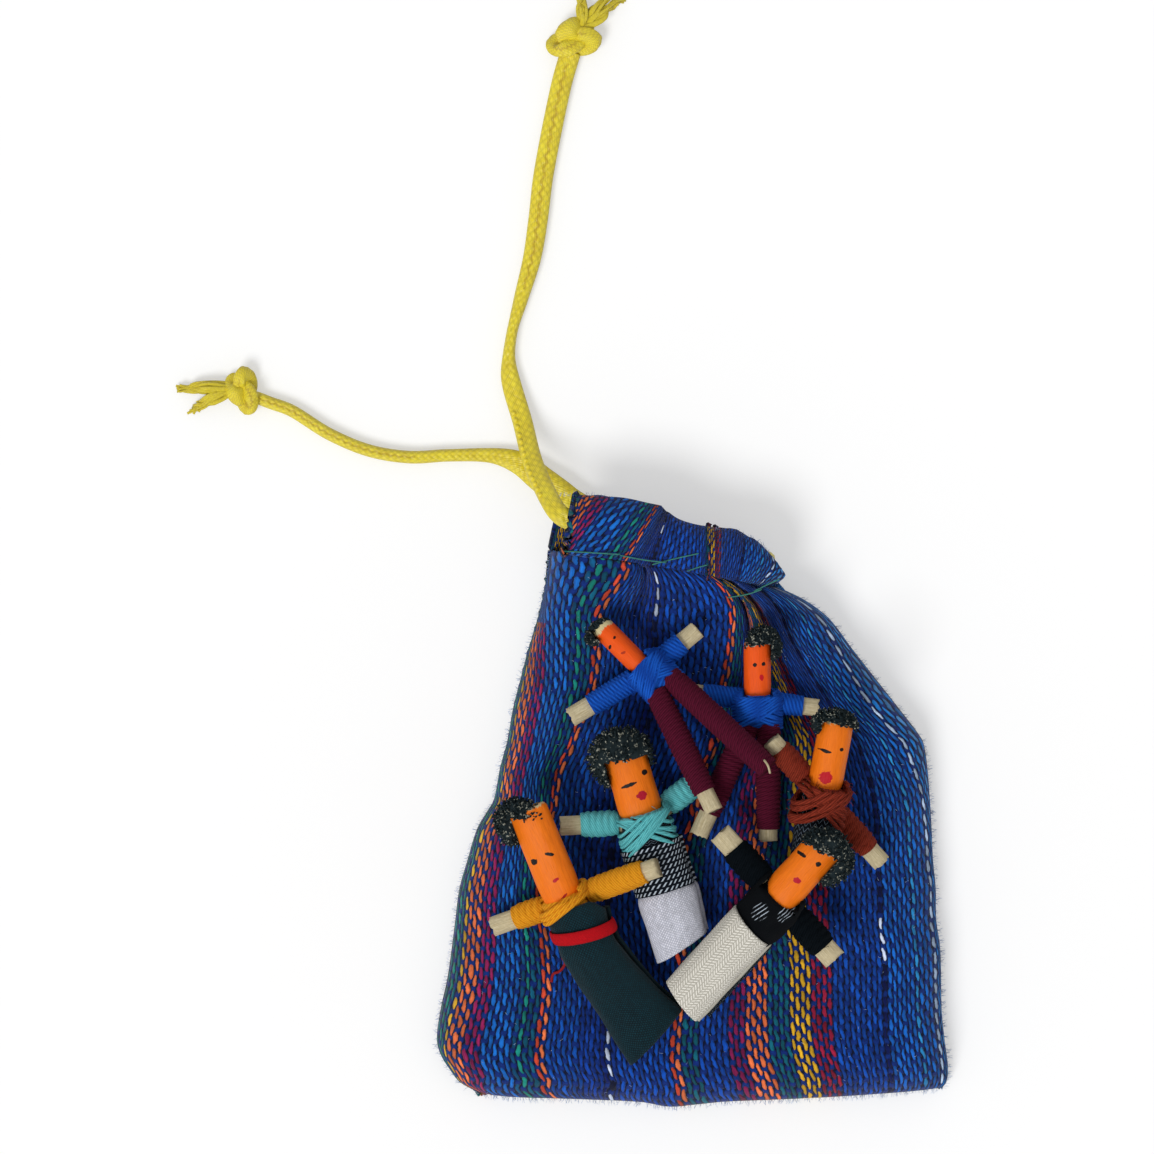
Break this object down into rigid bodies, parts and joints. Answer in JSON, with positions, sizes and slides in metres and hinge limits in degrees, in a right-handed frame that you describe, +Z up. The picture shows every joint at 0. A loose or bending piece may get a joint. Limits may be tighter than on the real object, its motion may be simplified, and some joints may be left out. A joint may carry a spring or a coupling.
{
  "type": "worry_doll_set",
  "caption": "Set of small stick dolls wound with yarn and dressed in cloth scraps, piled on a striped woven drawstring pouch",
  "frame": {"origin": "On the table, under the middle of the pouch (the middle of its box without the free cords)", "axes": "+Y runs up the pouch to its mouth, +Z is up from the table, and +X is to the right when the set is seen from above with the mouth away from the viewer"},
  "size_m": [0.0871, 0.1262, 0.0189],
  "materials": {
    "striped_cloth": "coarse woven cotton, striped",
    "cord_satin": "braided satin cord",
    "wood": "bare split wood",
    "orange_face": "wood painted orange",
    "red_orange_face": "wood painted red-orange",
    "hair_cloth": "dark crinkled cloth",
    "teal_yarn": "yarn",
    "orange_yarn": "yarn",
    "blue_thread": "fine wound thread",
    "maroon_thread": "fine wound thread",
    "rust_yarn": "yarn",
    "black_yarn": "fuzzy yarn",
    "dark_cloth": "dark woven cloth",
    "checked_cloth": "checked woven cloth",
    "white_cloth": "white woven cloth",
    "green_cloth": "dark green woven cloth",
    "red_cloth": "red woven tape"
  },
  "bodies": {
    "pouch": {"pouch_back": "striped_cloth", "pouch_front": "striped_cloth", "drawstring_casing": "striped_cloth", "drawstring_in_casing": "cord_satin"},
    "drawstring": {"cord_upper": "cord_satin", "knot_upper": "cord_satin", "frayed_end_upper": "cord_satin", "cord_left": "cord_satin", "knot_left": "cord_satin", "frayed_end_left": "cord_satin"},
    "teal_doll": {"teal_doll_head_stick": "orange_face", "teal_doll_hair": "hair_cloth", "teal_doll_left_arm_stick": "wood", "teal_doll_right_arm_stick": "wood", "teal_doll_left_sleeve": "teal_yarn", "teal_doll_right_sleeve": "teal_yarn", "teal_doll_blouse": "dark_cloth", "teal_doll_neck_yarn": "teal_yarn", "teal_doll_skirt": "checked_cloth", "teal_doll_underskirt": "white_cloth"},
    "orange_doll": {"orange_doll_head_stick": "orange_face", "orange_doll_hair": "hair_cloth", "orange_doll_arm_stick": "wood", "orange_doll_left_sleeve": "orange_yarn", "orange_doll_right_sleeve": "orange_yarn", "orange_doll_neck_yarn": "orange_yarn", "orange_doll_skirt": "green_cloth", "orange_doll_belt": "red_cloth"},
    "right_trouser_doll": {"right_trouser_doll_head_stick": "red_orange_face", "right_trouser_doll_hair": "hair_cloth", "right_trouser_doll_arm_stick": "wood", "right_trouser_doll_jumper": "blue_thread", "right_trouser_doll_left_leg_stick": "wood", "right_trouser_doll_right_leg_stick": "wood", "right_trouser_doll_left_trouser_leg": "maroon_thread", "right_trouser_doll_right_trouser_leg": "maroon_thread"},
    "left_trouser_doll": {"left_trouser_doll_head_stick": "red_orange_face", "left_trouser_doll_hair": "hair_cloth", "left_trouser_doll_left_arm_stick": "wood", "left_trouser_doll_right_arm_stick": "wood", "left_trouser_doll_jumper": "blue_thread", "left_trouser_doll_left_leg_stick": "wood", "left_trouser_doll_right_leg_stick": "wood", "left_trouser_doll_left_trouser_leg": "maroon_thread", "left_trouser_doll_right_trouser_leg": "maroon_thread"},
    "rust_doll": {"rust_doll_head_stick": "orange_face", "rust_doll_hair": "hair_cloth", "rust_doll_arm_stick": "wood", "rust_doll_left_sleeve": "rust_yarn", "rust_doll_right_sleeve": "rust_yarn", "rust_doll_dress": "dark_cloth", "rust_doll_neck_yarn": "rust_yarn"},
    "black_doll": {"black_doll_head_stick": "orange_face", "black_doll_hair": "hair_cloth", "black_doll_arm_stick": "wood", "black_doll_left_sleeve": "black_yarn", "black_doll_right_sleeve": "black_yarn", "black_doll_blouse": "black_yarn", "black_doll_skirt": "white_cloth", "black_doll_skirt_lining": "dark_cloth"}
  },
  "joints": [
    {"name": "teal_doll_lift", "type": "slide", "parent": "pouch", "child": "teal_doll", "axis": [0, 0, 1], "range_m": [0, 0.04]},
    {"name": "orange_doll_lift", "type": "slide", "parent": "teal_doll", "child": "orange_doll", "axis": [0, 0, 1], "range_m": [0, 0.04]},
    {"name": "right_trouser_doll_lift", "type": "slide", "parent": "orange_doll", "child": "right_trouser_doll", "axis": [0, 0, 1], "range_m": [0, 0.04]},
    {"name": "left_trouser_doll_lift", "type": "slide", "parent": "right_trouser_doll", "child": "left_trouser_doll", "axis": [0, 0, 1], "range_m": [0, 0.04]},
    {"name": "rust_doll_lift", "type": "slide", "parent": "left_trouser_doll", "child": "rust_doll", "axis": [0, 0, 1], "range_m": [0, 0.04]},
    {"name": "black_doll_lift", "type": "slide", "parent": "rust_doll", "child": "black_doll", "axis": [0, 0, 1], "range_m": [0, 0.04]},
    {"name": "drawstring_pull", "type": "slide", "parent": "pouch", "child": "drawstring", "axis": [-0.9721, 0.2344, 0], "range_m": [0, 0.01]}
  ]
}
